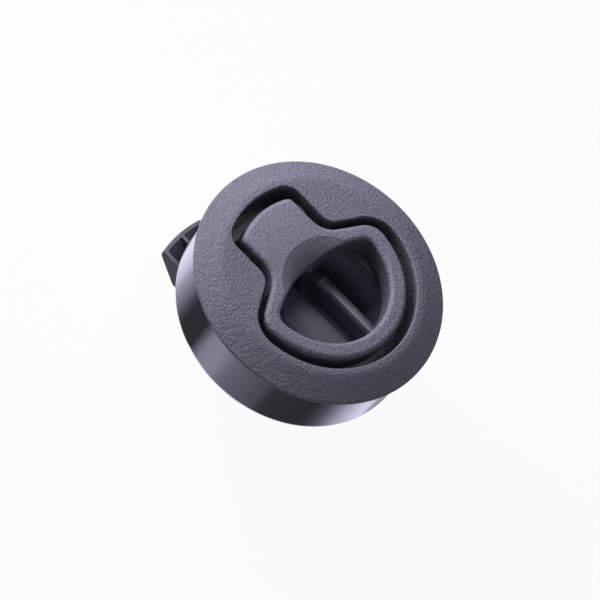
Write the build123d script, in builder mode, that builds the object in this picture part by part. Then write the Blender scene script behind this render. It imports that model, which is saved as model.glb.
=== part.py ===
# Flush pull latch: a round flange with a keyhole handle, and a sprung pawl behind the panel.
# Millimetres. The face looks up (+Z), the flange underside is at z = 0, the pawl points to -X.
import math
import os

from build123d import *

os.makedirs("parts", exist_ok=True)

# Barrel and flange
barrel_radius = 24.8
flange_overhang = 6.2
flange_edge = 0.8
flange_edge_r = 0.3
flat_over = 0.3
flange_rise = 2.6
flange_top_r = 0.5

# Recess that the handle lies in
recess_wall = 1.4
moat = 2.5
moat_end_extra = 0.6
recess_floor = -4.5
recess_edge_r = 0.3

# Handle outline: a disc with two bites that leave a neck
neck_half = 9.0
neck_length = 13.0
bite_slope = 62.0
bite_inner_r = 6.2
shoulder_r = 5.2
neck_corner_r = 1.9
handle_lift = 2.0
handle_edge_r = 1.2

# Finger opening, its lip and the scoop before the lip
ring_width = 4.1
lip_reach = 3.8
lip_radius = 35.0
opening_corner_r = 3.0
opening_edge_r = 1.1
scoop_edge_gap = 0.3
scoop_radius = 13.0
scoop_slope = 25.0
scoop_depth = 4.0
lip_wall = 2.0
lip_pocket_length = 4.0
lip_pocket_side = 2.0
lip_pocket_depth = 2.0

# Finger well under the opening
well_side_wall = 5.3
well_flat = 4.0
well_floor_wall = 3.6
trough_wall = 1.9
trough_floor_wall = 2.25

# Pivot, lever and travel of the handle
pivot_drop = 0.3
pin_radius = 1.5
pin_clearance = 0.05
seat_clearance = 0.02
pin_seat = 5.9
pin_chamfer = 0.3
boss_room = 0.4
boss_wall = 1.5
boss_side_gap = 0.2
lever_offset = 4.4
lever_drop = 16.42
lever_nose_r = 2.2
lever_tip_r = 1.3
lever_inner = 4.4
lever_setback = 1.6
lever_web_start = 4.0
lever_web_wall = 1.9
working_gap = 0.3

# Lever shaft in the housing
shaft_wall = 1.8
shaft_corner_wall = 1.0
shaft_side_gap = 0.2
shaft_nose_gap = 0.9
shaft_room = 1.18
shaft_floor_wall = 1.0

# Handle spring
coil_wire = 0.45
coil_gap = 1.1
coil_turns = 5.5
coil_pitch = 0.98
neck_leg = 3.4
leg_step = 0.01
neck_pocket_side = 0.3
neck_pocket_play = 0.1
shelf_depth = 2.5
shelf_wall = 1.8
shelf_tongue = 1.5
shelf_tongue_gap = 0.4
shelf_leg_hide = 0.3

# Mechanism block behind the barrel
block_setback = 1.5
block_end_setback = 6.8
block_side_wall = 2.05
block_lap = 0.2
block_corner_r = 3.0
block_end_wall = 2.0

# Pawl
pawl_top_drop = 4.7
pawl_height = 7.2
pawl_half = 7.0
pawl_reach = 8.0
pawl_lip = 0.8
pawl_ramp = 40.6
pawl_wall = 1.0
pawl_rib = 0.8
pawl_floor = 1.6
pawl_ramp_wall = 0.9
pawl_edge = 0.3
pawl_corner_r = 0.6
guide_gap = 0.25
crossbar_over = 0.6
tower_half = 3.2
crossbar_wall = 2.6
crossbar_rise = 1.8
crossbar_edge_r = 0.5
tray_length = 10.8
tray_gap = 0.1
stem_half = 3.0

# Pawl spring, its guide rod and its tunnel
spring_lift = 1.6
spring_mean = 2.45
spring_wire = 0.35
spring_turns = 13
rod_gap = 0.6
rod_play = 1.1
rod_seat = 4.5
rod_chamfer = 0.4
peg_gap = 0.5
spring_peg = 2.4
bore_gap = 0.4
tunnel_wall = 1.8
tunnel_roof = 1.6
tunnel_crown_over = 1.2
tunnel_play = 1.0
slot_play = 0.5

# Upright ribs on the well floor
rib_gap = 3.9
rib_wall = 3.5
rib_height = 7.8
rib_round_r = 3.1
rib_edge_r = 0.3
rib_setback = 4.0

# Back cover and its screws
cover_wall = 2.3
cover_edge = 0.4
cover_screw_over = 0.6
cover_screw_front = 8.5
cover_screw_end = 7.0
cover_boss_wall = 1.5
cover_boss_height = 7.5
cover_screw_r = 1.2
cover_screw_length = 8.0
cover_screw_point = 1.0
cover_head_r = 2.3
cross_length = 2.4
cross_width = 0.55
cross_depth = 1.0
cover_pad = 1.4
cover_pad_play = 3.5

# Clamp cup, its screws, washers and inserts
cup_gap = 3.7
cup_depth = 17.4
cup_sheet = 1.0
cup_corner_r = 1.8
cup_window_gap = 0.4
clamp_inset = 3.9
clamp_screw_r = 2.0
clamp_screw_length = 10.0
clamp_screw_point = 0.4
clamp_hole_gap = 0.25
clamp_head_r = 3.4
clamp_head = 2.4
clamp_head_edge = 0.9
clamp_cross_length = 3.6
clamp_cross_width = 0.8
clamp_cross_depth = 1.4
ear_wall = 1.35
ear_corner_r = 1.2
flute_gap = 0.4
flute_play = 0.1
flute_corner_r = 1.0
flute_over_ear = 1.0
insert_wall = 0.8
insert_length = 6.0
washer_over = 0.5
washer_wall = 0.8

# Cored walls of the barrel
core_wall = 1.7
core_roof = 2.5
core_rib = 1.5
core_rib_angles = (25, 62, 118, 155)

# Face, recess and handle, worked out from the sizes above
flange_radius = barrel_radius + flange_overhang
flat_radius = barrel_radius + flat_over
face_z = flange_edge + flange_rise
handle_radius = barrel_radius - recess_wall - moat
handle_bottom = recess_floor + handle_lift
bite_foot_x = neck_length - handle_radius
recess_neck = neck_half + moat
opening_radius = handle_radius - ring_width
lip_x = bite_foot_x + lip_reach
scoop_x = opening_radius - scoop_edge_gap - scoop_radius
well_radius = barrel_radius - well_side_wall
well_half = well_radius - well_flat

# Pivot, lever and crossbar
shaft_front_x = shaft_wall - barrel_radius
shaft_half = neck_half + shaft_side_gap
pivot_x = shaft_front_x + shaft_nose_gap + lever_nose_r + lever_offset
pivot_z = handle_bottom - pivot_drop
pivot = Location((pivot_x, 0, pivot_z), (90, 0, 0))
pin_half = recess_neck + pin_seat
boss_radius = pin_radius + boss_wall
lever_length = math.hypot(lever_offset, lever_drop)
lean = math.atan2(lever_offset, lever_drop)
lever_width = neck_half - lever_setback - lever_inner
nose_x = pivot_x - lever_offset
nose_z = pivot_z - lever_drop
travel = 2 * lever_offset
shaft_floor = nose_z - lever_nose_r - shaft_room
barrel_bottom = shaft_floor - shaft_floor_wall
well_floor = barrel_bottom + well_floor_wall
crossbar_x = nose_x + lever_nose_r + working_gap
crossbar_rear_x = crossbar_x + crossbar_wall
crossbar_half = lever_inner + lever_width + crossbar_over

# Handle spring
coil_mean = pin_radius + coil_gap + coil_wire
shelf_top = pivot_z - coil_mean - coil_wire - seat_clearance
shelf_front_x = shaft_front_x + shelf_depth
shelf_leg = handle_radius + pivot_x - shelf_leg_hide
neck_pocket_z = pivot_z + coil_mean + coil_wire + neck_pocket_play
neck_pocket_reach = coil_mean + coil_wire + neck_pocket_side

# Pawl, block and cover
pawl_top = shaft_floor - pawl_top_drop
pawl_bottom = pawl_top - pawl_height
pawl_tip = barrel_radius + pawl_reach
pawl_rear_x = crossbar_rear_x + tray_length
cavity_top = pawl_top + guide_gap
cavity_half = pawl_half + guide_gap
block_front_x = shaft_front_x + block_setback
block_end_x = barrel_radius - block_end_setback
block_half = cavity_half + block_side_wall
block_bottom = pawl_bottom - block_lap
cover_top = block_bottom
cover_bottom = cover_top - cover_wall
cover_boss_r = cover_screw_r + cover_boss_wall
cover_screw_y = block_half + cover_screw_over
cover_screw_x = (block_front_x + cover_screw_front, block_end_x - cover_screw_end)
cover_screws_at = [(x, side * cover_screw_y) for x in cover_screw_x for side in (1, -1)]
cover_pad_x = pawl_rear_x + travel + cover_pad_play
trough_half = block_half - trough_wall
trough_floor = cavity_top + trough_floor_wall
slot_front_x = crossbar_x - slot_play
slot_end_x = pawl_rear_x + travel + slot_play

# Pawl spring, tunnel and ribs
spring_z = well_floor + spring_lift
tray_top = spring_z - spring_mean - spring_wire - tray_gap
tower_top = spring_z + spring_mean + spring_wire
spring_peg_r = spring_mean - spring_wire - peg_gap
rod_radius = spring_mean - spring_wire - rod_gap
rod_front_x = crossbar_rear_x + spring_peg + travel + rod_play
tunnel_radius = spring_mean + spring_wire + bore_gap
tunnel_half = tunnel_radius + tunnel_wall
tunnel_top = spring_z + tunnel_radius + tunnel_roof
tunnel_crown_r = tunnel_half + tunnel_crown_over
tunnel_front_x = crossbar_rear_x + travel + tunnel_play
tunnel_end_x = block_end_x - block_end_wall
rib_y = tunnel_half + rib_gap
rib_top = well_floor + rib_height
rib_front_x = tunnel_front_x + rib_setback

# Clamp cup, screws, washers, inserts and flutes
cup_radius = barrel_radius + cup_gap + cup_sheet
cup_bottom = -cup_depth
window_radius = barrel_radius + cup_window_gap
clamp_y = barrel_radius - clamp_inset
clamp_hole_r = clamp_screw_r + clamp_hole_gap
ear_half = clamp_hole_r + ear_wall
washer_radius = clamp_head_r + washer_over
clamp_head_z = cup_bottom - washer_wall
clamp_tip_z = clamp_head_z + clamp_screw_length
insert_radius = clamp_screw_r + insert_wall
flute_half = washer_radius + flute_gap
flute_inner_y = clamp_y - washer_radius - flute_play
flute_top = cup_bottom + cup_sheet + flute_over_ear
core_top = recess_floor - core_roof


# Plan of the handle or of its recess: a disc with two bites and a neck
def keyhole(radius, end_radius, half, foot_x, inner_r, outer_r, corner_r):
    rise = 2 * radius
    with BuildSketch() as plan:
        Circle(radius)
        for side in (1, -1):
            foot = (foot_x, side * half)
            top = (foot_x + rise / math.tan(math.radians(bite_slope)), side * (half + rise))
            with BuildLine():
                Polyline(foot, top, (-2 * radius, top[1]), (-2 * radius, foot[1]), foot)
            make_face(mode=Mode.SUBTRACT)
        if end_radius > radius:
            with BuildSketch(mode=Mode.PRIVATE) as neck:
                Circle(end_radius)
                Rectangle(2 * end_radius, 2 * half, align=(Align.MAX, Align.CENTER), mode=Mode.INTERSECT)
            add(neck.sketch)
        corners = plan.vertices().sort_by(Axis.X)
        fillet(corners[4:6], outer_r)
        corners = plan.vertices().sort_by(Axis.X)
        fillet(corners[2:4], inner_r)
        corners = plan.vertices().sort_by(Axis.X)
        fillet(corners[0:2], corner_r)
    return plan.sketch


# Plan of the finger opening: a disc cut off by the curved lip
with BuildSketch() as opening_plan:
    Circle(opening_radius)
    with Locations((lip_x + lip_radius, 0)):
        Circle(lip_radius, mode=Mode.INTERSECT)
    fillet(opening_plan.vertices().group_by(Axis.X)[0], opening_corner_r)


# True for a curved edge on the rim of the finger opening
def is_on_rim(edge):
    middle = edge.center()
    off_ring = abs(math.hypot(middle.X, middle.Y) - opening_radius)
    off_lip = abs(math.hypot(middle.X - lip_x - lip_radius, middle.Y) - lip_radius)
    near = min(off_ring, off_lip) < opening_corner_r / 2
    return near and edge.geom_type != GeomType.LINE and middle.Z > 0


# Plan of the mechanism block
with BuildSketch() as block_plan:
    with Locations(((block_end_x + block_front_x) / 2, 0)):
        RectangleRounded(block_end_x - block_front_x, 2 * block_half, block_corner_r)

handle_plan = keyhole(handle_radius, handle_radius, neck_half, bite_foot_x,
                      bite_inner_r, shoulder_r, neck_corner_r)
recess_foot_x = bite_foot_x - moat * math.tan(math.radians((90 - bite_slope) / 2))
recess_plan = keyhole(handle_radius + moat, handle_radius + moat + moat_end_extra, recess_neck,
                      recess_foot_x, bite_inner_r - moat, shoulder_r + moat, neck_corner_r + moat)

# Housing
with BuildPart() as housing:
    with BuildSketch(Plane.XZ):
        with BuildLine():
            Polyline((0, barrel_bottom), (barrel_radius, barrel_bottom), (barrel_radius, 0),
                     (flange_radius, 0), (flange_radius, flange_edge), (flat_radius, face_z),
                     (0, face_z), (0, barrel_bottom))
        make_face()
    revolve(axis=Axis.Z)
    fillet(housing.edges().filter_by(GeomType.CIRCLE).group_by(Axis.Z)[-1], flange_top_r)
    rims = housing.edges().filter_by(GeomType.CIRCLE).filter_by(lambda ring: ring.radius > flange_radius - 0.01)
    fillet(rims.sort_by(Axis.Z)[-1], flange_edge_r)

    # Block and screw bosses behind the barrel
    with BuildSketch(Plane.XY.offset(block_bottom)):
        add(block_plan.sketch)
    extrude(amount=barrel_bottom + well_floor_wall - block_bottom)
    with BuildSketch(Plane.XY.offset(block_bottom)):
        with Locations(cover_screws_at):
            Circle(cover_boss_r)
    extrude(amount=cover_boss_height)

    # Recess with a softened edge
    with BuildSketch(Plane.XY.offset(recess_floor)):
        add(recess_plan)
    extrude(amount=face_z - recess_floor, mode=Mode.SUBTRACT)
    face = housing.faces().filter_by(Plane.XY).sort_by(Axis.Z)[-1]
    fillet(face.inner_wires()[0].edges(), recess_edge_r)

    # Finger well, lever shaft and the trough between the tunnel and the block walls
    with BuildSketch(Plane.XY.offset(well_floor)):
        Circle(well_radius)
        Rectangle(2 * well_radius, 2 * well_half, mode=Mode.INTERSECT)
        with Locations((lip_x, 0)):
            Rectangle(2 * well_radius, 2 * well_radius, align=(Align.MIN, Align.CENTER), mode=Mode.INTERSECT)
    extrude(amount=recess_floor - well_floor + 1, mode=Mode.SUBTRACT)
    with BuildSketch(Plane.XY.offset(shaft_floor)):
        with Locations((shaft_front_x, 0)):
            Rectangle(lip_x - shaft_front_x + 1, 2 * shaft_half, align=(Align.MIN, Align.CENTER))
        Circle(barrel_radius - shaft_corner_wall, mode=Mode.INTERSECT)
    extrude(amount=recess_floor - shaft_floor + 1, mode=Mode.SUBTRACT)
    with BuildSketch(Plane.XY.offset(trough_floor)):
        with Locations((slot_front_x, 0)):
            Rectangle(tunnel_end_x - slot_front_x, 2 * trough_half, align=(Align.MIN, Align.CENTER))
    extrude(amount=well_floor - trough_floor + 1, mode=Mode.SUBTRACT)

    # Spring tunnel with a crowned roof down the middle of the well
    with BuildSketch(Plane.YZ.offset(tunnel_front_x)):
        with Locations((0, tunnel_top)):
            Rectangle(2 * tunnel_half, tunnel_top - well_floor + 1, align=(Align.CENTER, Align.MAX))
        with Locations((0, tunnel_top - tunnel_crown_r)):
            Circle(tunnel_crown_r, mode=Mode.INTERSECT)
        with Locations((0, spring_z)):
            Rectangle(2 * tunnel_half, spring_z - well_floor + 1, align=(Align.CENTER, Align.MAX))
    extrude(amount=well_radius - tunnel_front_x + 1)
    with BuildSketch(Plane.YZ.offset(tunnel_front_x)):
        with Locations((0, well_floor)):
            Rectangle(2 * tunnel_half, well_floor - trough_floor + 0.5, align=(Align.CENTER, Align.MAX))
    extrude(amount=tunnel_end_x - tunnel_front_x + 0.5)

    # An upright rib on each side of it, rounded towards the middle
    for side in (1, -1):
        with BuildSketch(Plane.YZ.offset(rib_front_x)) as rib_plan:
            with Locations((side * (rib_y + rib_wall / 2), rib_top)):
                Rectangle(rib_wall, rib_top - well_floor + 0.5, align=(Align.CENTER, Align.MAX))
            corners = rib_plan.vertices().sort_by(lambda corner: -abs(corner.Y) + corner.Z)
            fillet(corners[-1], rib_round_r)
            corners = rib_plan.vertices().sort_by(lambda corner: abs(corner.Y) + corner.Z)
            fillet(corners[-1], rib_edge_r)
        extrude(amount=tunnel_end_x - rib_front_x + 1.5)

    # Bore of the tunnel, the slot for the pawl's stem and the pawl's cavity
    with BuildSketch(Plane.YZ.offset(tunnel_front_x - 1)):
        with Locations((0, spring_z)):
            Circle(tunnel_radius)
    extrude(amount=tunnel_end_x - tunnel_front_x + 1, mode=Mode.SUBTRACT)
    with BuildSketch(Plane.XY.offset(cavity_top - 0.5)):
        with Locations((slot_front_x, 0)):
            Rectangle(slot_end_x - slot_front_x, 2 * (stem_half + guide_gap), align=(Align.MIN, Align.CENTER))
    extrude(amount=spring_z - cavity_top + 0.5, mode=Mode.SUBTRACT)
    with BuildSketch(Plane.XY.offset(block_bottom)):
        with Locations((block_front_x - 1, 0)):
            Rectangle(tunnel_end_x - block_front_x + 1, 2 * cavity_half, align=(Align.MIN, Align.CENTER))
    extrude(amount=cavity_top - block_bottom, mode=Mode.SUBTRACT)
    with BuildSketch(Plane.YZ.offset(tunnel_end_x - 1)):
        with Locations((0, spring_z)):
            Circle(rod_radius + seat_clearance)
    extrude(amount=rod_seat + 1.1, mode=Mode.SUBTRACT)

    # Pivot: the pin hole right across, and room for the handle's bosses
    with Locations(pivot):
        Cylinder(pin_radius + seat_clearance, 2 * barrel_radius, mode=Mode.SUBTRACT)
        Cylinder(boss_radius + boss_room, 2 * recess_neck, mode=Mode.SUBTRACT)
    with BuildSketch(Plane.XY.offset(shelf_top)):
        with Locations((shelf_front_x, 0)):
            Rectangle(shelf_depth + shaft_corner_wall / 2, 2 * shaft_half + shaft_corner_wall,
                      align=(Align.MAX, Align.CENTER))
            Rectangle(2 * shelf_tongue, 2 * (lever_inner - shelf_tongue_gap))
        Circle(barrel_radius - shaft_corner_wall / 2, mode=Mode.INTERSECT)
    extrude(amount=-shelf_wall)

    # Flutes and holes for the clamp screws
    with BuildSketch(Plane.XY.offset(barrel_bottom)):
        for side in (1, -1):
            with Locations((0, side * (flute_inner_y + barrel_radius))):
                RectangleRounded(2 * flute_half, 2 * barrel_radius, flute_corner_r)
    extrude(amount=flute_top - barrel_bottom, mode=Mode.SUBTRACT)
    with BuildSketch(Plane.XY.offset(flute_top)):
        with Locations((0, clamp_y), (0, -clamp_y)):
            Circle(insert_radius + seat_clearance)
    extrude(amount=insert_length, mode=Mode.SUBTRACT)
    with BuildSketch(Plane.XY.offset(flute_top)):
        with Locations((0, clamp_y), (0, -clamp_y)):
            Circle(clamp_hole_r)
    extrude(amount=clamp_tip_z + 0.8 - flute_top, mode=Mode.SUBTRACT)

    # Cored walls of the barrel, open at its back
    with BuildSketch(Plane.XY.offset(barrel_bottom)):
        Circle(barrel_radius - core_wall)
        with BuildSketch(mode=Mode.PRIVATE) as well_wall:
            Circle(well_radius + core_wall)
            Rectangle(2 * barrel_radius, 2 * (well_half + core_wall), mode=Mode.INTERSECT)
            with Locations((lip_x - core_wall, 0)):
                Rectangle(2 * barrel_radius, 2 * barrel_radius, align=(Align.MIN, Align.CENTER),
                          mode=Mode.INTERSECT)
        add(well_wall.sketch, mode=Mode.SUBTRACT)
        with Locations((shaft_front_x - core_wall, 0)):
            Rectangle(lip_x - shaft_front_x, 2 * (shaft_half + core_wall), align=(Align.MIN, Align.CENTER),
                      mode=Mode.SUBTRACT)
        Rectangle(2 * (flute_half + core_wall), 2 * barrel_radius, mode=Mode.SUBTRACT)
        for angle in core_rib_angles:
            Rectangle(2 * barrel_radius, core_rib, rotation=angle, mode=Mode.SUBTRACT)
    extrude(amount=core_top - barrel_bottom, mode=Mode.SUBTRACT)

    # Pilot holes for the cover screws
    with BuildSketch(Plane.XY.offset(block_bottom)):
        with Locations(cover_screws_at):
            Circle(cover_screw_r + seat_clearance)
    extrude(amount=cover_screw_length - cover_wall + 0.5, mode=Mode.SUBTRACT)

# Handle
with BuildPart() as handle:
    with BuildSketch(Plane.XY.offset(handle_bottom)):
        add(handle_plan)
    extrude(amount=face_z - handle_bottom)
    fillet(handle.faces().sort_by(Axis.Z)[-1].edges(), handle_edge_r)
    with BuildSketch(Plane.XY.offset(handle_bottom)):
        add(opening_plan.sketch)
    extrude(amount=face_z - handle_bottom, mode=Mode.SUBTRACT)
    with Locations((scoop_x, 0, face_z)):
        Cone(scoop_radius - scoop_depth / math.tan(math.radians(scoop_slope)), scoop_radius, scoop_depth,
             align=(Align.CENTER, Align.CENTER, Align.MAX), mode=Mode.SUBTRACT)
    fillet(handle.edges().filter_by(is_on_rim), opening_edge_r)

    # Pockets under the neck, for the spring and behind the lip
    with Locations((pivot_x, 0, neck_pocket_z)):
        Box(2 * neck_pocket_reach, 2 * lever_inner, neck_pocket_z - handle_bottom,
            align=(Align.CENTER, Align.CENTER, Align.MAX), mode=Mode.SUBTRACT)
    with Locations((lip_x - lip_wall, 0, handle_bottom)):
        Box(lip_pocket_length, 2 * (neck_half - lip_pocket_side), lip_pocket_depth,
            align=(Align.MAX, Align.CENTER, Align.MIN), mode=Mode.SUBTRACT)

    # Bosses round the pin, and the two-armed lever down to the pawl
    for side in (1, -1):
        start = Plane.XZ.offset(-(recess_neck - boss_side_gap) if side > 0 else lever_inner)
        with BuildSketch(start):
            with Locations((pivot_x, pivot_z)):
                Circle(boss_radius)
        extrude(amount=recess_neck - boss_side_gap - lever_inner)
        start = Plane.XZ.offset(-(lever_inner + lever_width) if side > 0 else lever_inner)
        with BuildSketch(start):
            with Locations((pivot_x, pivot_z)):
                Circle(boss_radius)
            with Locations((nose_x, nose_z)):
                Circle(lever_tip_r)
            make_hull()
            with Locations((nose_x, nose_z)):
                Circle(lever_nose_r)
        extrude(amount=lever_width)
    with BuildSketch(Plane.XZ.offset(-lever_inner)):
        with Locations((nose_x, nose_z)):
            Circle(lever_nose_r)
        web_length = lever_length - lever_web_start
        web_middle = lever_web_start + web_length / 2
        with Locations((pivot_x - web_middle * math.sin(lean), pivot_z - web_middle * math.cos(lean))):
            Rectangle(lever_web_wall, web_length, rotation=-math.degrees(lean))
    extrude(amount=2 * lever_inner)
    with Locations(pivot):
        Cylinder(pin_radius + pin_clearance, 2 * recess_neck, mode=Mode.SUBTRACT)

# Pivot pin
with BuildPart() as pivot_pin:
    with Locations(pivot):
        Cylinder(pin_radius, 2 * pin_half)
    chamfer(pivot_pin.edges().filter_by(GeomType.CIRCLE), pin_chamfer)


# Round wire wound about Z, upwards from Z = 0, starting on +X
def coil(radius, wire, pitch, turns):
    with BuildPart() as winding:
        with BuildLine() as path:
            Helix(pitch, pitch * turns, radius)
        with BuildSketch(Plane(origin=path.line @ 0, z_dir=path.line % 0)):
            Circle(wire)
        sweep(path=path.line, is_frenet=True)
    return winding.part


# Handle spring: both legs point to -X, one on the shelf and one under the neck
coil_half = coil_pitch * coil_turns / 2
handle_winding = coil(coil_mean, coil_wire, coil_pitch, coil_turns)
coil_seat = Plane((pivot_x, coil_half, pivot_z), x_dir=(0, 0, -1), z_dir=(0, -1, 0))
with BuildPart() as handle_spring:
    with Locations(coil_seat.location):
        add(handle_winding)
    for height, way, reach in ((-coil_mean, 1, shelf_leg), (coil_mean, -1, neck_leg)):
        with Locations(Location((pivot_x, way * coil_half, pivot_z + height), (0, -90, 0))):
            Cylinder(coil_wire - leg_step, reach, align=(Align.CENTER, Align.CENTER, Align.MIN))

ramp = math.radians(pawl_ramp)


# What lies under the pawl's ramp, lifted by a skin
def under_ramp(lift):
    start_z = pawl_top - pawl_lip + lift
    drop = start_z - pawl_bottom + 1
    outer_x = -pawl_tip - 2
    outer_z = start_z + 2 * math.tan(ramp)
    with BuildPart() as wedge:
        with BuildSketch(Plane.XZ):
            with BuildLine():
                Polyline((outer_x, outer_z), (-pawl_tip + drop / math.tan(ramp), start_z - drop),
                         (outer_x, start_z - drop), (outer_x, outer_z))
            make_face()
        extrude(amount=pawl_half + 1, both=True)
    return wedge.part


# Room that the pawl's pockets take, above a floor that follows the ramp
ramp_cut = under_ramp(0)
ramp_wall_cut = under_ramp(pawl_ramp_wall / math.cos(ramp))
with BuildPart() as pawl_pockets:
    with BuildSketch(Plane.XY.offset(pawl_bottom + pawl_floor)):
        Circle(pawl_tip - pawl_wall)
        with Locations((crossbar_x - pawl_wall, 0)):
            Rectangle(pawl_tip, 2 * (pawl_half - pawl_wall), align=(Align.MAX, Align.CENTER), mode=Mode.INTERSECT)
        Rectangle(2 * pawl_tip, pawl_rib, mode=Mode.SUBTRACT)
    extrude(amount=pawl_height)
    add(ramp_wall_cut, mode=Mode.SUBTRACT)
    with BuildSketch(Plane.XY.offset(pawl_bottom + pawl_floor)):
        with Locations((crossbar_x, 0)):
            Rectangle(pawl_rear_x - pawl_wall - crossbar_x, 2 * (pawl_half - pawl_wall),
                      align=(Align.MIN, Align.CENTER))
        Rectangle(2 * pawl_tip, 2 * stem_half, mode=Mode.SUBTRACT)
    extrude(amount=pawl_height)

# Pawl: a pocketed bolt with a stem that carries the crossbar and the spring tray
with BuildPart() as pawl:
    with BuildSketch(Plane.XY.offset(pawl_bottom)) as pawl_plan:
        Circle(pawl_tip)
        with Locations((pawl_rear_x, 0)):
            Rectangle(pawl_tip, 2 * pawl_half, align=(Align.MAX, Align.CENTER), mode=Mode.INTERSECT)
        fillet(pawl_plan.vertices().group_by(Axis.X)[0], pawl_corner_r)
    extrude(amount=pawl_height)
    add(ramp_cut, mode=Mode.SUBTRACT)
    fillet(pawl.faces().sort_by(Axis.Z)[-1].edges(), pawl_edge)
    add(pawl_pockets.part, mode=Mode.SUBTRACT)
    with Locations((crossbar_x, 0, tray_top)):
        Box(pawl_rear_x - crossbar_x, 2 * stem_half, tray_top - pawl_top + 1,
            align=(Align.MIN, Align.CENTER, Align.MAX))
    with Locations((crossbar_x, 0, shaft_floor + working_gap)):
        Box(crossbar_wall, 2 * crossbar_half, nose_z + crossbar_rise - shaft_floor - working_gap,
            align=(Align.MIN, Align.CENTER, Align.MIN))
        Box(crossbar_wall, 2 * tower_half, tower_top - shaft_floor - working_gap,
            align=(Align.MIN, Align.CENTER, Align.MIN))
    fillet(pawl.faces().sort_by(Axis.Z)[-1].edges(), crossbar_edge_r)
    with BuildSketch(Plane.YZ.offset(crossbar_rear_x)):
        with Locations((0, spring_z)):
            Circle(spring_peg_r)
    extrude(amount=spring_peg)

# Pawl spring and the rod that keeps it straight
spring_length = tunnel_end_x - crossbar_rear_x - 2 * (spring_wire + seat_clearance)
pawl_winding = coil(spring_mean, spring_wire, spring_length / spring_turns, spring_turns)
spring_seat = Plane((crossbar_rear_x + spring_wire + seat_clearance, 0, spring_z), x_dir=(0, 0, 1), z_dir=(1, 0, 0))
with BuildPart() as pawl_spring:
    with Locations(spring_seat.location):
        add(pawl_winding)
with BuildPart() as spring_rod:
    with BuildSketch(Plane.YZ.offset(rod_front_x)):
        with Locations((0, spring_z)):
            Circle(rod_radius)
    extrude(amount=tunnel_end_x + rod_seat - rod_front_x)
    chamfer(spring_rod.faces().sort_by(Axis.X)[0].edges(), rod_chamfer)

# Back cover
with BuildPart() as back_cover:
    with BuildSketch(Plane.XY.offset(cover_bottom)):
        add(block_plan.sketch)
        with Locations(cover_screws_at):
            Circle(cover_boss_r)
    extrude(amount=cover_wall)
    chamfer(back_cover.faces().sort_by(Axis.Z)[0].edges(), cover_edge)
    with Locations((cover_pad_x, 0, cover_top)):
        Box(tunnel_end_x - guide_gap - cover_pad_x, 2 * pawl_half, cover_pad,
            align=(Align.MIN, Align.CENTER, Align.MIN))
    for x, y in cover_screws_at:
        with Locations((x, y, cover_bottom)):
            Cylinder(cover_screw_r + 0.2, cover_wall,
                     align=(Align.CENTER, Align.CENTER, Align.MIN), mode=Mode.SUBTRACT)
            Cone(cover_head_r + 0.05, cover_screw_r + 0.05, cover_head_r - cover_screw_r,
                 align=(Align.CENTER, Align.CENTER, Align.MIN), mode=Mode.SUBTRACT)

# Cover screws: flat heads with a cross recess
with BuildPart() as cover_screw:
    with BuildSketch(Plane.XZ):
        with BuildLine():
            Polyline((0, 0), (cover_head_r, 0), (cover_screw_r, cover_head_r - cover_screw_r),
                     (cover_screw_r, cover_screw_length - cover_screw_point), (0.3, cover_screw_length),
                     (0, cover_screw_length), (0, 0))
        make_face()
    revolve(axis=Axis.Z)
    for turn in (0, 90):
        with Locations(Location((0, 0, 0), (0, 0, turn))):
            Box(cross_length, cross_width, cross_depth, align=(Align.CENTER, Align.CENTER, Align.MIN), mode=Mode.SUBTRACT)
with BuildPart() as cover_screws:
    with Locations([(x, y, cover_bottom) for x, y in cover_screws_at]):
        add(cover_screw.part)

# Clamp cup: drawn from sheet, with two ears for the clamp screws
with BuildPart() as clamp_cup:
    with BuildSketch(Plane.XZ):
        with BuildLine():
            Polyline((window_radius, cup_bottom), (cup_radius, cup_bottom), (cup_radius, 0),
                     (cup_radius - cup_sheet, 0), (cup_radius - cup_sheet, cup_bottom + cup_sheet),
                     (window_radius, cup_bottom + cup_sheet), (window_radius, cup_bottom))
        make_face()
    revolve(axis=Axis.Z)
    rings = clamp_cup.edges().filter_by(GeomType.CIRCLE)
    fillet(rings.filter_by(lambda ring: ring.radius == cup_radius).sort_by(Axis.Z)[0], cup_corner_r)
    rings = clamp_cup.edges().filter_by(GeomType.CIRCLE)
    fillet(rings.filter_by(lambda ring: abs(ring.radius - cup_radius + cup_sheet) < 0.01).sort_by(Axis.Z)[0],
           cup_corner_r - cup_sheet)
    with BuildSketch(Plane.XY.offset(cup_bottom)):
        for side in (1, -1):
            with Locations((0, side * clamp_y)):
                RectangleRounded(2 * ear_half, 2 * ear_half, ear_corner_r)
            with Locations((0, side * (clamp_y + ear_half))):
                Rectangle(2 * ear_half, 2 * ear_half)
        Circle(window_radius + 0.5, mode=Mode.INTERSECT)
    extrude(amount=cup_sheet)
    with Locations((0, clamp_y, cup_bottom), (0, -clamp_y, cup_bottom)):
        Cylinder(clamp_hole_r, 4 * cup_sheet, mode=Mode.SUBTRACT)

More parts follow.
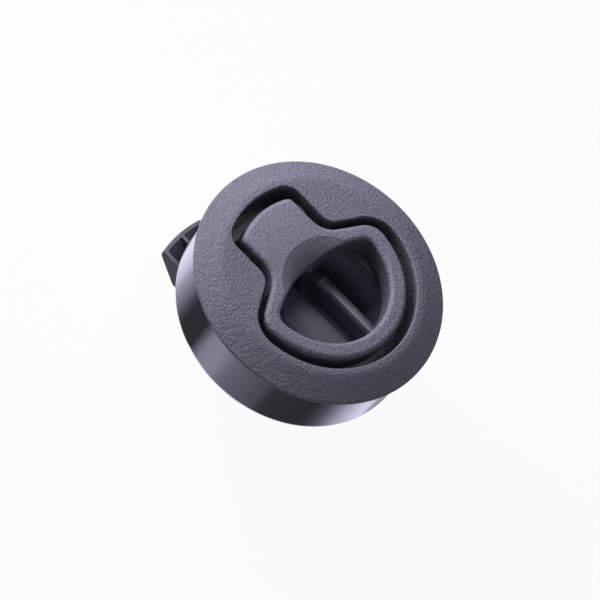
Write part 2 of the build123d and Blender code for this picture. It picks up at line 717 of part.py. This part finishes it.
# Clamp screws, washers and inserts
with BuildPart() as clamp_screw:
    Cylinder(clamp_head_r, clamp_head, align=(Align.CENTER, Align.CENTER, Align.MAX))
    fillet(clamp_screw.faces().sort_by(Axis.Z)[0].edges(), clamp_head_edge)
    Cylinder(clamp_screw_r, clamp_screw_length, align=(Align.CENTER, Align.CENTER, Align.MIN))
    chamfer(clamp_screw.faces().sort_by(Axis.Z)[-1].edges(), clamp_screw_point)
    for turn in (0, 90):
        with Locations(Location((0, 0, -clamp_head), (0, 0, turn))):
            Box(clamp_cross_length, clamp_cross_width, clamp_cross_depth,
                align=(Align.CENTER, Align.CENTER, Align.MIN), mode=Mode.SUBTRACT)
with BuildPart() as clamp_screws:
    with Locations((0, clamp_y, clamp_head_z), (0, -clamp_y, clamp_head_z)):
        add(clamp_screw.part)
with BuildPart() as clamp_washers:
    with BuildSketch(Plane.XY.offset(clamp_head_z)):
        with Locations((0, clamp_y), (0, -clamp_y)):
            Circle(washer_radius)
            Circle(clamp_hole_r, mode=Mode.SUBTRACT)
    extrude(amount=washer_wall)
with BuildPart() as threaded_inserts:
    with BuildSketch(Plane.XY.offset(flute_top)):
        with Locations((0, clamp_y), (0, -clamp_y)):
            Circle(insert_radius)
            Circle(clamp_screw_r + seat_clearance, mode=Mode.SUBTRACT)
    extrude(amount=insert_length - seat_clearance)

parts = {
    "housing": housing, "handle": handle, "pivot_pin": pivot_pin, "handle_spring": handle_spring,
    "pawl": pawl, "pawl_spring": pawl_spring, "spring_rod": spring_rod, "back_cover": back_cover,
    "cover_screws": cover_screws, "clamp_cup": clamp_cup, "clamp_screws": clamp_screws,
    "clamp_washers": clamp_washers, "threaded_inserts": threaded_inserts,
}
for name, piece in parts.items():
    piece.part.label = name
    export_step(piece.part, f"parts/{name}.step")
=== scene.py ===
import math

import bpy
from mathutils import Matrix, Vector


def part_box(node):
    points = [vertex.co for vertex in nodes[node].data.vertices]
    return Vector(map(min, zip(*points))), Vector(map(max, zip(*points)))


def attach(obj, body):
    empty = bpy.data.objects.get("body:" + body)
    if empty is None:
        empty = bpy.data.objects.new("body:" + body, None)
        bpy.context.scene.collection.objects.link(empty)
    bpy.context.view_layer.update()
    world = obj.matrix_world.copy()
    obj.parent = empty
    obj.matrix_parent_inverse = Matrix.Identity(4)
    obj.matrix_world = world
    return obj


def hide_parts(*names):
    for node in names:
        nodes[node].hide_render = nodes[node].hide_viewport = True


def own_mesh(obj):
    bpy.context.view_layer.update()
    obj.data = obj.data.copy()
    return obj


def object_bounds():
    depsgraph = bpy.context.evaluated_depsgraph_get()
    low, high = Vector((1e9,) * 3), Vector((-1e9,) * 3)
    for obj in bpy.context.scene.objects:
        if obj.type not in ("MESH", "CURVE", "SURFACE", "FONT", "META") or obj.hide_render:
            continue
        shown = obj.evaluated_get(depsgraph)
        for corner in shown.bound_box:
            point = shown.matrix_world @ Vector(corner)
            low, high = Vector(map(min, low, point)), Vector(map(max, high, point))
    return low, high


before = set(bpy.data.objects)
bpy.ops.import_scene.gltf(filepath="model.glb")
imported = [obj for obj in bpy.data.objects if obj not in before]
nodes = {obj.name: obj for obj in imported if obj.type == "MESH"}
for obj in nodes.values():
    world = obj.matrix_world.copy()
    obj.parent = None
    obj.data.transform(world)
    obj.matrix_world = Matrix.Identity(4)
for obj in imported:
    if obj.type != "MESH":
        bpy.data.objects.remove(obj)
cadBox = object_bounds()
scene = bpy.context.scene
mm = 0.001
print("frame loaded, nodes:", len(nodes))


# Helpers for node trees: each value is a plain one to set or another node's output to link
def feedSocket(tree, socket, value):
    if isinstance(value, bpy.types.NodeSocket):
        tree.links.new(value, socket)
    else:
        socket.default_value = value


def addNode(tree, kind, settings=None, **inputs):  # _0, _1 and so on name an input by its number
    node = tree.nodes.new(kind)
    for name, value in (settings or {}).items():
        setattr(node, name, value)
    for name, value in inputs.items():
        key = int(name[1:]) if name[0] == "_" else name.replace("_", " ")
        feedSocket(tree, node.inputs[key], value)
    return node


def addMath(tree, operation, a, b=0.0, clamp=False):
    settings = {"operation": operation, "use_clamp": clamp}
    return addNode(tree, "ShaderNodeMath", settings, _0=a, _1=b).outputs[0]


def addRamp(tree, value, low, high, lowOut=0.0, highOut=1.0):
    return addNode(tree, "ShaderNodeMapRange", {"interpolation_type": "SMOOTHSTEP"}, _0=value,
                   _1=low, _2=high, _3=lowOut, _4=highOut).outputs[0]


def mixColour(tree, mask, a, b):
    return addNode(tree, "ShaderNodeMix", {"data_type": "RGBA"}, _0=mask, _6=a, _7=b).outputs[2]


def toned(colour, factor):
    return [channel * factor for channel in colour[:3]] + [1]


def newGroup(name, inputs, outputs):
    tree = bpy.data.node_groups.new(name, "ShaderNodeTree")
    for title, kind, value in inputs:
        socket = tree.interface.new_socket(title, in_out="INPUT", socket_type=kind)
        if value is not None:
            socket.default_value = value
    for title, kind in outputs:
        tree.interface.new_socket(title, in_out="OUTPUT", socket_type=kind)
    return tree, tree.nodes.new("NodeGroupInput").outputs, tree.nodes.new("NodeGroupOutput").inputs


def placeGroup(tree, group, **inputs):
    return addNode(tree, "ShaderNodeGroup", {"node_tree": group}, **inputs).outputs


def newMaterial(name, **sockets):
    material = bpy.data.materials.new(name)
    material.use_nodes = True
    tree = material.node_tree
    shader = tree.nodes["Principled BSDF"]
    for title, value in sockets.items():
        shader.inputs[title.replace("_", " ")].default_value = value
    coords = tree.nodes.new("ShaderNodeTexCoord").outputs["Object"]
    return material, tree, shader, coords


# Spark-eroded grain of a mould: rounded pits of two sizes, and a mask of the high specks
grainMake = {"fineRatio": 2.3, "warp": 0.15, "speckFrom": 0.35, "speckTo": 0.65}
grainGroup, gIn, gOut = newGroup(
    "moulded grain",
    [("Vector", "NodeSocketVector", None),
     ("Pits", "NodeSocketFloat", 1500.0),
     ("Fine", "NodeSocketFloat", 0.4)],
    [("Height", "NodeSocketFloat"), ("Speck", "NodeSocketFloat")])
gCoarse = addNode(grainGroup, "ShaderNodeTexNoise", Vector=gIn["Vector"], Scale=gIn["Pits"],
                  Detail=2.0, Roughness=0.5, Distortion=grainMake["warp"]).outputs[0]
gFine = addNode(grainGroup, "ShaderNodeTexNoise", Vector=gIn["Vector"], Detail=1.0, Roughness=0.5,
                Scale=addMath(grainGroup, "MULTIPLY", gIn["Pits"], grainMake["fineRatio"])).outputs[0]
gSum = addMath(grainGroup, "ADD", gCoarse, addMath(grainGroup, "MULTIPLY", gFine, gIn["Fine"]))
gSpeck = addRamp(grainGroup, gCoarse, grainMake["speckFrom"], grainMake["speckTo"])
grainGroup.links.new(gSum, gOut["Height"])
grainGroup.links.new(gSpeck, gOut["Speck"])

# Rubbed edges: a patchy mask where the surface turns sharply within the given width
edgeMake = {"width": 0.6 * mm, "turnFrom": 0.02, "turnTo": 0.2, "patches": 220.0}
edgeGroup, eIn, eOut = newGroup(
    "rubbed edges",
    [("Vector", "NodeSocketVector", None), ("Patchiness", "NodeSocketFloat", 0.5)],
    [("Mask", "NodeSocketFloat")])
eBevel = addNode(edgeGroup, "ShaderNodeBevel", {"samples": 6}, Radius=edgeMake["width"]).outputs[0]
eNormal = edgeGroup.nodes.new("ShaderNodeNewGeometry").outputs["Normal"]
eDot = addNode(edgeGroup, "ShaderNodeVectorMath", {"operation": "DOT_PRODUCT"}, _0=eBevel, _1=eNormal)
eTurn = addRamp(edgeGroup, addMath(edgeGroup, "SUBTRACT", 1.0, eDot.outputs["Value"]),
                edgeMake["turnFrom"], edgeMake["turnTo"])
ePatch = addNode(edgeGroup, "ShaderNodeTexNoise", Vector=eIn["Vector"], Scale=edgeMake["patches"],
                 Detail=3.0).outputs[0]
eKept = addMath(edgeGroup, "SUBTRACT", 1.0, addMath(edgeGroup, "MULTIPLY", ePatch, eIn["Patchiness"]))
edgeGroup.links.new(addMath(edgeGroup, "MULTIPLY", eTurn, eKept, True), eOut["Mask"])


# Parts of the plastic's colour and relief that depend on the place on the piece; the colour parts are
# painted light, painted shade and a painted highlight
def paintDepthShading(tree, base, places, paintedDepthShading):  # painted light and shade below the face: the colour goes lighter or darker with depth, standing in for the light that reaches the recess
    deep = addRamp(tree, places["Z"], paintedDepthShading["full"], paintedDepthShading["from"], 1.0, 0.0)
    return mixColour(tree, addMath(tree, "MULTIPLY", deep, paintedDepthShading["amount"]), base, paintedDepthShading["colour"])


def paintWallShade(tree, base, places, spread, paintedWallShade):  # painted shade on the recess's walls, by height and inside a radius
    under = addRamp(tree, places["Z"], *paintedWallShade["top"], 1.0, 0.0)
    above = addRamp(tree, places["Z"], *paintedWallShade["foot"])
    inside = addRamp(tree, spread, *paintedWallShade["radius"], paintedWallShade["amount"], 0.0)
    mask = addMath(tree, "MULTIPLY", addMath(tree, "MULTIPLY", under, above), inside)
    return mixColour(tree, mask, base, paintedWallShade["colour"])


def paintRibHighlight(tree, base, places, rib):  # painted highlight along the top of the rib on each side of the spring tunnel
    aside = addMath(tree, "SUBTRACT", addMath(tree, "ABSOLUTE", places["Y"]), rib["aside"])
    near = addRamp(tree, addMath(tree, "ABSOLUTE", aside), 0.0, rib["half"], 1.0, 0.0)
    level = addRamp(tree, places["Z"], *rib["rise"])
    below = addRamp(tree, places["Z"], *rib["fall"], 1.0, 0.0)
    mask = addMath(tree, "MULTIPLY", addMath(tree, "MULTIPLY", near, level), below)
    return mixColour(tree, mask, base, rib["colour"])


def crownHeight(tree, places, crown):  # the neck bows down towards its outer end
    drop = addMath(tree, "MAXIMUM", addMath(tree, "SUBTRACT", crown["start"], places["X"]))
    return addMath(tree, "MULTIPLY", addMath(tree, "POWER", drop, 2.0), -crown["curve"])


def creaseHeight(tree, spread, crease):  # the flange's slope sets in over a soft round, not a line
    off = addMath(tree, "ABSOLUTE", addMath(tree, "SUBTRACT", spread, crease["radius"]))
    drop = addMath(tree, "MAXIMUM", addMath(tree, "SUBTRACT", crease["half"], off))
    curve = crease["slope"] / (4 * crease["half"])
    return addMath(tree, "MULTIPLY", addMath(tree, "POWER", drop, 2.0), -curve)


# Grained moulded plastic
plasticMake = {"fine": 0.4, "speckTone": 1.9, "grainDepth": 0.8 * mm,
               "clouds": 90.0, "cloudFrom": 0.3, "cloudTo": 0.7, "cloudMix": 0.12, "cloudTone": 1.4,
               "patchiness": 0.7, "rubTone": 2.6, "rubGloss": 0.12}


def mouldedPlastic(name, look):
    material, tree, shader, coords = newMaterial(name, Roughness=look["roughness"], IOR=1.5,
                                                 Specular_IOR_Level=look["specular"])
    colour = look["colour"]
    grain = placeGroup(tree, grainGroup, Vector=coords, Pits=look["pits"], Fine=plasticMake["fine"])
    edges = placeGroup(tree, edgeGroup, Vector=coords, Patchiness=plasticMake["patchiness"])
    cloud = addNode(tree, "ShaderNodeTexNoise", Vector=coords, Scale=plasticMake["clouds"],
                    Detail=3.0).outputs[0]
    base = mixColour(tree, addMath(tree, "MULTIPLY", grain["Speck"], look["speck"]), colour,
                     toned(colour, plasticMake["speckTone"]))
    cloudMask = addRamp(tree, cloud, plasticMake["cloudFrom"], plasticMake["cloudTo"],
                        0.0, plasticMake["cloudMix"])
    base = mixColour(tree, cloudMask, base, toned(colour, plasticMake["cloudTone"]))
    base = mixColour(tree, addMath(tree, "MULTIPLY", edges["Mask"], look["rub"]), base,
                     toned(colour, plasticMake["rubTone"]))
    # The place on the piece, and its distance from the Z axis
    places = addNode(tree, "ShaderNodeSeparateXYZ", Vector=coords).outputs
    flatPlace = addNode(tree, "ShaderNodeCombineXYZ", X=places["X"], Y=places["Y"]).outputs[0]
    spread = addNode(tree, "ShaderNodeVectorMath", {"operation": "LENGTH"}, _0=flatPlace).outputs["Value"]
    # painted light and shade by depth below the face
    if "paintedDepthShading" in look:
        base = paintDepthShading(tree, base, places, look["paintedDepthShading"])
    # painted shade on the recess's walls
    if "paintedWallShade" in look:
        base = paintWallShade(tree, base, places, spread, look["paintedWallShade"])
    # painted highlight along the rib tops
    if "rib" in look:
        base = paintRibHighlight(tree, base, places, look["rib"])
    tree.links.new(base, shader.inputs["Base Color"])
    gloss = addMath(tree, "MULTIPLY", edges["Mask"], plasticMake["rubGloss"])
    tree.links.new(addMath(tree, "SUBTRACT", look["roughness"], gloss), shader.inputs["Roughness"])
    bump = addNode(tree, "ShaderNodeBump", Strength=look["bump"], Distance=plasticMake["grainDepth"],
                   Height=grain["Height"])
    height = None
    if "crown" in look:
        height = crownHeight(tree, places, look["crown"])
    if "crease" in look:
        height = creaseHeight(tree, spread, look["crease"])
    if height:
        bow = addNode(tree, "ShaderNodeBump", Strength=1.0, Distance=1.0, Height=height)
        tree.links.new(bow.outputs[0], bump.inputs["Normal"])
    tree.links.new(bump.outputs[0], shader.inputs["Normal"])
    return material


# Each pair of heights or radii is the span over which a colour sets in or fades
housingLook = {
    "colour": [0.15, 0.14, 0.2, 1], "roughness": 0.5, "specular": 0.3,
    "pits": 1500.0, "speck": 0.4, "rub": 0.1, "bump": 0.55,
    "crease": {"radius": 25.1 * mm, "half": 1.2 * mm, "slope": 0.44},
    # painted light: the colour lightens below the face, down into the deep recess
    "paintedDepthShading": {"from": 1.5 * mm, "full": -3 * mm, "amount": 0.6, "colour": [0.4, 0.385, 0.51, 1]},
    # painted shade: the recess's walls are darkened
    "paintedWallShade": {"top": (1.6 * mm, 3 * mm), "foot": (-9 * mm, -5 * mm), "radius": (23.9 * mm, 24.3 * mm),
             "amount": 0.7, "colour": [0.07, 0.07, 0.085, 1]},
    # painted highlight: a pale band along the top of each rib
    "rib": {"aside": 8.6 * mm, "half": 2.2 * mm, "rise": (-14.7 * mm, -12.5 * mm),
            "fall": (-12 * mm, -11.2 * mm), "colour": [0.88, 0.82, 1.0, 1]},
}
handleLook = {
    "colour": [0.168, 0.157, 0.222, 1], "roughness": 0.5, "specular": 0.3,
    "pits": 1500.0, "speck": 0.4, "rub": 0.15, "bump": 0.45,
    "crown": {"start": -10 * mm, "curve": 8.0},
    # painted shade: the handle darkens below its top face
    "paintedDepthShading": {"from": 3.0 * mm, "full": 1.6 * mm, "amount": 0.6, "colour": [0.03, 0.03, 0.04, 1]},
}
pawlLook = {
    "colour": [0.11, 0.105, 0.135, 1], "roughness": 0.38, "specular": 0.5,
    "pits": 900.0, "speck": 0.15, "rub": 0.35, "bump": 0.15,
}
coverLook = {
    "colour": [0.05, 0.05, 0.056, 1], "roughness": 0.42, "specular": 0.5,
    "pits": 1100.0, "speck": 0.2, "rub": 0.3, "bump": 0.3,
}

# Drawn or turned metal: fine lines round or along the piece, and a little colour change
metalMake = {"lineFrom": 0.3, "lineTo": 0.7, "lineTone": 0.55, "lineDepth": 0.02 * mm,
             "clouds": 120.0, "cloudFrom": 0.35, "cloudTo": 0.7, "cloudMix": 0.25, "cloudTone": 0.8,
             "dullFrom": 0.3, "dullTo": 0.75, "dullMix": 0.3}


def workedMetal(name, look):
    material, tree, shader, coords = newMaterial(name, Metallic=1.0, Roughness=look["roughness"])
    colour = look["colour"]
    stretch = addNode(tree, "ShaderNodeMapping", {"vector_type": "POINT"}, Vector=coords,
                      Scale=look["stretch"]).outputs[0]
    lines = addNode(tree, "ShaderNodeTexNoise", Vector=stretch, Scale=look["lines"], Detail=4.0).outputs[0]
    cloud = addNode(tree, "ShaderNodeTexNoise", Vector=coords, Scale=metalMake["clouds"],
                    Detail=3.0).outputs[0]
    lineMask = addRamp(tree, lines, metalMake["lineFrom"], metalMake["lineTo"], 0.0, look["mark"])
    base = mixColour(tree, lineMask, colour, toned(colour, metalMake["lineTone"]))
    cloudMask = addRamp(tree, cloud, metalMake["cloudFrom"], metalMake["cloudTo"],
                        0.0, metalMake["cloudMix"])
    base = mixColour(tree, cloudMask, base, toned(colour, metalMake["cloudTone"]))
    tree.links.new(base, shader.inputs["Base Color"])
    dull = addRamp(tree, lines, metalMake["dullFrom"], metalMake["dullTo"],
                   0.0, look["mark"] * metalMake["dullMix"])
    tree.links.new(addMath(tree, "ADD", look["roughness"], dull), shader.inputs["Roughness"])
    bump = addNode(tree, "ShaderNodeBump", Strength=look["mark"], Distance=metalMake["lineDepth"],
                   Height=lines)
    tree.links.new(bump.outputs[0], shader.inputs["Normal"])
    return material


cupLook = {"colour": [0.71, 0.7, 0.83, 1], "roughness": 0.05,
           "stretch": (1, 1, 0.04), "lines": 900.0, "mark": 0.08}
screwLook = {"colour": [0.62, 0.62, 0.61, 1], "roughness": 0.3,
             "stretch": (1, 1, 1), "lines": 1800.0, "mark": 0.35}
wireLook = {"colour": [0.42, 0.42, 0.43, 1], "roughness": 0.28,
            "stretch": (1, 1, 1), "lines": 2500.0, "mark": 0.3}
brassLook = {"colour": [0.78, 0.57, 0.26, 1], "roughness": 0.3,
             "stretch": (1, 1, 0.2), "lines": 2000.0, "mark": 0.4}

finishes = {
    "housing": mouldedPlastic("grained housing", housingLook),
    "handle": mouldedPlastic("grained handle", handleLook),
    "pawl": mouldedPlastic("moulded pawl", pawlLook),
    "back_cover": mouldedPlastic("moulded cover", coverLook),
    "clamp_cup": workedMetal("polished cup", cupLook),
    "clamp_screws": workedMetal("plated screws", screwLook),
    "pivot_pin": workedMetal("drawn wire", wireLook),
    "threaded_inserts": workedMetal("turned brass", brassLook),
}
for screwNode in ("clamp_washers", "cover_screws"):
    finishes[screwNode] = finishes["clamp_screws"]
for wireNode in ("handle_spring", "pawl_spring", "spring_rod"):
    finishes[wireNode] = finishes["pivot_pin"]
for nodeName, finish in finishes.items():
    for holder in nodes[nodeName].material_slots:
        holder.material = finish
print("finishes placed")

# Pawl spring: wire wound by Geometry Nodes
springLook = {"facetsPerTurn": 36, "facetsRoundWire": 12, "pawlTravel": 8.8 * mm,
              "inputs": {"Mean Radius": 2.45 * mm, "Wire Radius": 0.35 * mm, "Turns": 13.0}}
springLow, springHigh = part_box("pawl_spring")
springReach = springHigh[0] - springLow[0]
wireRadius = springLook["inputs"]["Wire Radius"]
springLook["inputs"]["Length"] = springReach - 2 * wireRadius
tree = bpy.data.node_groups.new("wound spring", "GeometryNodeTree")
springInputs = {}
for title, value in springLook["inputs"].items():
    socket = tree.interface.new_socket(title, in_out="INPUT", socket_type="NodeSocketFloat")
    springInputs[socket.identifier] = value
tree.interface.new_socket("Geometry", in_out="OUTPUT", socket_type="NodeSocketGeometry")
given = tree.nodes.new("NodeGroupInput").outputs
spiral = addNode(tree, "GeometryNodeCurveSpiral", Resolution=springLook["facetsPerTurn"],
                 Rotations=given["Turns"], Start_Radius=given["Mean Radius"],
                 End_Radius=given["Mean Radius"], Height=given["Length"])
wireRing = addNode(tree, "GeometryNodeCurvePrimitiveCircle", Resolution=springLook["facetsRoundWire"],
                   Radius=given["Wire Radius"])
wound = addNode(tree, "GeometryNodeCurveToMesh", Curve=spiral.outputs[0],
                Profile_Curve=wireRing.outputs[0], Fill_Caps=True)
realized = addNode(tree, "GeometryNodeRealizeInstances", Geometry=wound.outputs[0])
coloured = addNode(tree, "GeometryNodeSetMaterial", Geometry=realized.outputs[0],
                   Material=finishes["pawl_spring"])
tree.links.new(coloured.outputs[0], tree.nodes.new("NodeGroupOutput").inputs[0])
spring = bpy.data.objects.new("pawl_spring_wound", bpy.data.meshes.new("pawl spring host"))
scene.collection.objects.link(spring)
winder = spring.modifiers.new("wound spring", "NODES")
winder.node_group = tree
for identifier, value in springInputs.items():
    winder[identifier] = value
springMesh = bpy.data.meshes.new_from_object(spring.evaluated_get(bpy.context.evaluated_depsgraph_get()))
spring.modifiers.remove(winder)
springZ = (springLow[2] + springHigh[2]) / 2
springMesh.transform(Matrix((  # the spiral's own Z runs along X here
    (0, 0, 1, springLow[0] + wireRadius),
    (0, -1, 0, 0),
    (1, 0, 0, springZ),
    (0, 0, 0, 1))))
spring.data = springMesh
for face in springMesh.polygons:
    face.use_smooth = len(face.vertices) == 4  # the wire is smooth and its cut ends stay flat
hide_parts("pawl_spring")
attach(spring, "body")
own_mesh(spring)
print("spring wound, faces:", len(springMesh.polygons))

# Floor: plain and pale to the light, white to the camera but for the object's shadow
floorLook = {"size": 3.0, "gap": 0.01 * mm, "pale": (0.82, 0.82, 0.83, 1), "roughness": 0.9,
             "specular": 0.2, "shadow": 0.05}
floorMesh = bpy.data.meshes.new("floor")
half = floorLook["size"] / 2
floorZ = cadBox[0].z - floorLook["gap"]
corners = [(-half, -half, floorZ), (half, -half, floorZ), (half, half, floorZ), (-half, half, floorZ)]
floorMesh.from_pydata(corners, [], [(0, 1, 2, 3)])
floor = bpy.data.objects.new("floor", floorMesh)
scene.collection.objects.link(floor)
floor.visible_glossy = False
floorMaterial, tree, shader, coords = newMaterial("pale floor", Base_Color=floorLook["pale"],
                                                  Roughness=floorLook["roughness"],
                                                  Specular_IOR_Level=floorLook["specular"])
glow = addNode(tree, "ShaderNodeEmission", Color=(1, 1, 1, 1), Strength=1.0)
seen = tree.nodes.new("ShaderNodeLightPath").outputs["Is Camera Ray"]
blend = addNode(tree, "ShaderNodeMixShader",
                _0=addMath(tree, "MULTIPLY", seen, 1.0 - floorLook["shadow"]),
                _1=shader.outputs[0], _2=glow.outputs[0])
tree.links.new(blend.outputs[0], tree.nodes["Material Output"].inputs[0])
floorMesh.materials.append(floorMaterial)

# World: white to the eye and in reflections, a weak ambient for the light
worldLook = {"ambient": (0.03, 0.03, 0.0312, 1), "white": (1, 1, 1, 1)}
world = bpy.data.worlds.new("studio")
world.use_nodes = True
tree = world.node_tree
path = tree.nodes.new("ShaderNodeLightPath").outputs
seen = addMath(tree, "MAXIMUM", path["Is Camera Ray"], path["Is Glossy Ray"])
seen = addMath(tree, "MAXIMUM", seen, path["Is Transmission Ray"])
tone = mixColour(tree, seen, worldLook["ambient"], worldLook["white"])
tree.links.new(tone, tree.nodes["Background"].inputs["Color"])
scene.world = world

# Ring of cards round the object, for the polished metal alone: brightness by the angle on the ring
cardLook = {"radius": 0.5, "top": 0.16, "bottom": -1.2, "steps": 180, "tint": (1, 0.99, 1.12),
            "tones": [(-180, 0.27), (-174, 0.2), (-166, 0.09), (-158, 0.036), (-136, 0.036), (-131, 0.12),
                      (-124, 0.27), (-112, 0.32), (-104, 0.29), (-96, 0.2), (-86, 0.155), (-70, 0.12),
                      (-58, 0.09), (-50, 0.04), (-14, 0.032), (-6, 0.045), (4, 0.1), (14, 0.24), (24, 0.46),
                      (34, 0.6), (44, 0.8), (52, 0.78), (62, 0.37), (74, 0.27), (92, 0.28), (112, 0.6),
                      (136, 0.95), (150, 0.85), (160, 0.68), (170, 0.42), (180, 0.27)]}
cardMesh = bpy.data.meshes.new("reflection cards")
ringPoints, ringFaces = [], []
for step in range(cardLook["steps"]):
    turn = 2 * math.pi * step / cardLook["steps"]
    acrossX, acrossY = cardLook["radius"] * math.cos(turn), cardLook["radius"] * math.sin(turn)
    ringPoints += [(acrossX, acrossY, cardLook["bottom"]), (acrossX, acrossY, cardLook["top"])]
    following = (step + 1) % cardLook["steps"]
    ringFaces.append((2 * step, 2 * following, 2 * following + 1, 2 * step + 1))
cardMesh.from_pydata(ringPoints, [], ringFaces)
cards = bpy.data.objects.new("reflection cards", cardMesh)
scene.collection.objects.link(cards)
for rays in ("camera", "diffuse", "shadow", "transmission", "volume_scatter"):
    setattr(cards, "visible_" + rays, False)
cardMaterial, tree, shader, coords = newMaterial("card tones", Base_Color=(0, 0, 0, 1),
                                                 Specular_IOR_Level=0.0)
parts = addNode(tree, "ShaderNodeSeparateXYZ", Vector=coords).outputs
angle = addMath(tree, "ARCTAN2", parts["Y"], parts["X"])
place = addNode(tree, "ShaderNodeMapRange", _0=angle, _1=-math.pi, _2=math.pi).outputs[0]
tones = addNode(tree, "ShaderNodeValToRGB", _0=place)
stops = tones.color_ramp.elements
while len(stops) < len(cardLook["tones"]):
    stops.new(0.5)
for stop, (degrees, tone) in zip(stops, cardLook["tones"]):
    stop.position = (degrees + 180) / 360
    stop.color = [tone * channel for channel in cardLook["tint"]] + [1]
cardGlow = addNode(tree, "ShaderNodeEmission", Color=tones.outputs[0])
tree.links.new(cardGlow.outputs[0], tree.nodes["Material Output"].inputs[0])
cardMesh.materials.append(cardMaterial)

# Lamps: soft round ones that face the flange's centre
lampLook = {
    "key": {"azimuth": 174, "height": 19, "distance": 0.7, "size": 0.45, "power": 6.0},
    "top": {"azimuth": 146, "height": 60, "distance": 0.09, "size": 0.04, "power": 0.026},
    "fill": {"azimuth": 318, "height": 28, "distance": 0.7, "size": 0.3, "power": 0.35},
}
for lampName, look in lampLook.items():
    lampData = bpy.data.lights.new(lampName, "AREA")
    lampData.shape = "DISK"
    lampData.size = look["size"]
    lampData.energy = look["power"]
    lamp = bpy.data.objects.new(lampName, lampData)
    scene.collection.objects.link(lamp)
    azimuth, height = math.radians(look["azimuth"]), math.radians(look["height"])
    way = Vector((math.cos(azimuth) * math.cos(height), math.sin(azimuth) * math.cos(height),
                  math.sin(height)))
    lamp.location = way * look["distance"]
    lamp.rotation_mode = "QUATERNION"
    lamp.rotation_quaternion = way.to_track_quat("Z", "Y")
    lamp.visible_camera = False

# Camera: the photo's view, a long lens over the lower left of the face
cameraLook = {"tilt": 34.17, "azimuth": -84.0, "roll": 40.7, "distance": 1.0, "lens": 259.5, "sensor": 36,
              "nearest": 0.01, "target": (0, 0, 0.8 * mm), "pixels": 600, "offset": (-20.03, -19.25)}
tilt, turn, roll = (math.radians(cameraLook[key]) for key in ("tilt", "azimuth", "roll"))
back = Vector((math.sin(tilt) * math.cos(turn), math.sin(tilt) * math.sin(turn), math.cos(tilt)))
levelRight = Vector((-math.sin(turn), math.cos(turn), 0))
levelUp = back.cross(levelRight)
right = levelRight * math.cos(roll) + levelUp * math.sin(roll)
up = levelUp * math.cos(roll) - levelRight * math.sin(roll)
pixel = cameraLook["distance"] * cameraLook["sensor"] / (cameraLook["lens"] * cameraLook["pixels"])
shift = (right * cameraLook["offset"][0] + up * cameraLook["offset"][1]) * pixel  # offset is in pixels
spot = Vector(cameraLook["target"]) + shift + back * cameraLook["distance"]
cameraData = bpy.data.cameras.new("camera")
cameraData.lens = cameraLook["lens"]
cameraData.sensor_width = cameraLook["sensor"]
cameraData.clip_start = cameraLook["nearest"]
camera = bpy.data.objects.new("camera", cameraData)
scene.collection.objects.link(camera)
camera.matrix_world = Matrix.Translation(spot) @ Matrix((right, up, back)).transposed().to_4x4()
scene.camera = camera
scene.view_settings.view_transform = "Standard"
print("stage, lamps and camera placed")
